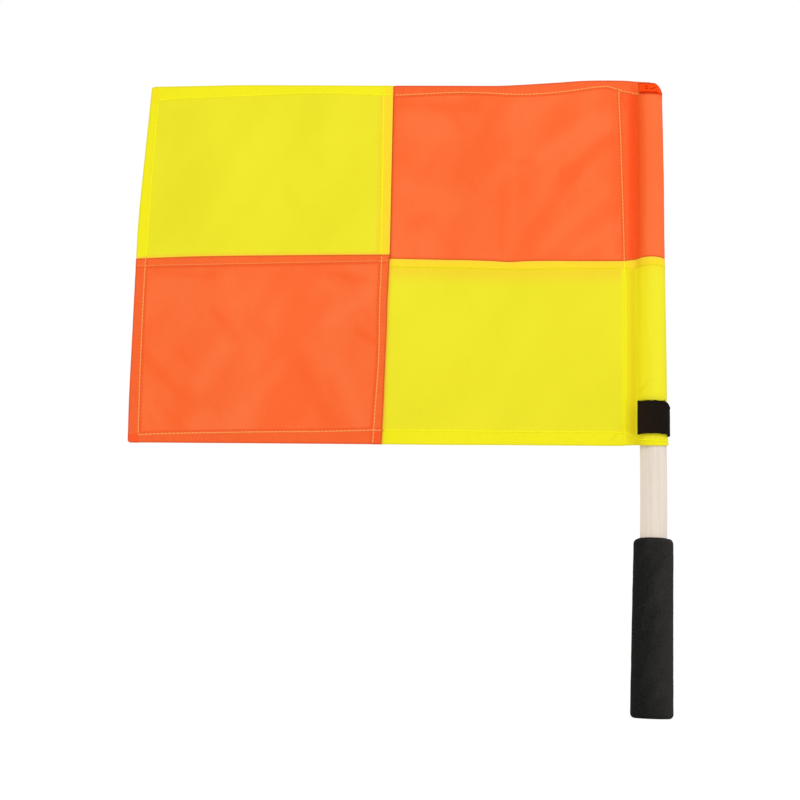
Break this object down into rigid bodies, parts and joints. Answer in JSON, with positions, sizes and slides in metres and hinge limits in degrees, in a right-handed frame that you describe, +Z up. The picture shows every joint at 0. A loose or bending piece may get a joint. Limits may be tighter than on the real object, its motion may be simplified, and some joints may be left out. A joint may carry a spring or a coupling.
{
  "type": "linesman flag",
  "caption": "Chequered cloth signal flag whose sewn sleeve slides on a wooden pole with a foam hand grip, held by a hook-and-loop strap that peels open.",
  "frame": {"origin": "Where a hand holds it: the point on the pole's axis at the middle of the foam grip", "axes": "+Z runs up the pole, the cloth spreads towards -X, and the face in the picture looks towards -Y"},
  "size_m": [0.4244, 0.031, 0.4972],
  "materials": {
    "pole": "pale sanded hardwood, thin clear coat",
    "grip": "matte closed-cell foam",
    "yellow_cloth": "plain-woven synthetic cloth, soft sheen",
    "orange_cloth": "plain-woven synthetic cloth, soft sheen",
    "orange_patch": "the orange cloth, several layers thick",
    "tape": "matte woven hook-and-loop tape",
    "loop_tape": "fuzzy loop side of the tape",
    "orange_thread": "light orange sewing thread",
    "yellow_thread": "bright yellow sewing thread",
    "black_thread": "black sewing thread"
  },
  "bodies": {
    "pole": {"pole": "pole", "foam_grip": "grip"},
    "sleeve": {"upper_sleeve": "orange_cloth", "lower_sleeve": "yellow_cloth", "sleeve_seam_thread": "orange_thread", "sleeve_hem_thread_front": "yellow_thread", "sleeve_hem_thread_back": "yellow_thread", "sleeve_cross_seam_thread": "yellow_thread", "sleeve_top_hem_thread": "orange_thread", "end_patch": "orange_patch", "end_patch_thread": "orange_thread", "strap_band": "tape", "strap_loop_patch": "loop_tape", "strap_thread": "black_thread"},
    "cloth": {"upper_fly_panel": "yellow_cloth", "lower_fly_panel": "orange_cloth", "upper_hoist_panel": "orange_cloth", "lower_hoist_panel": "yellow_cloth", "fly_hem_thread": "yellow_thread", "top_hem_thread": "yellow_thread", "bottom_hem_thread": "orange_thread", "vertical_seam_thread": "orange_thread", "fly_cross_seam_thread": "orange_thread", "hoist_cross_seam_thread": "yellow_thread"},
    "strap_tab": {"strap_tab": "tape"}
  },
  "joints": [
    {"name": "sleeve_slides_on_pole", "type": "slide", "parent": "pole", "child": "sleeve", "axis": [0, 0, 1], "range_m": [0, 0.285]},
    {"name": "cloth_swings_on_sleeve", "type": "hinge", "parent": "sleeve", "child": "cloth", "pos_m": [-0.022, 0, 0.28205], "axis": [0, 0, 1], "range_deg": [-120, 120]},
    {"name": "tab_peels_off_strap", "type": "hinge", "parent": "sleeve", "child": "strap_tab", "pos_m": [0.01235, 0, 0.1557], "axis": [0, 0, 1], "range_deg": [0, 120]}
  ]
}
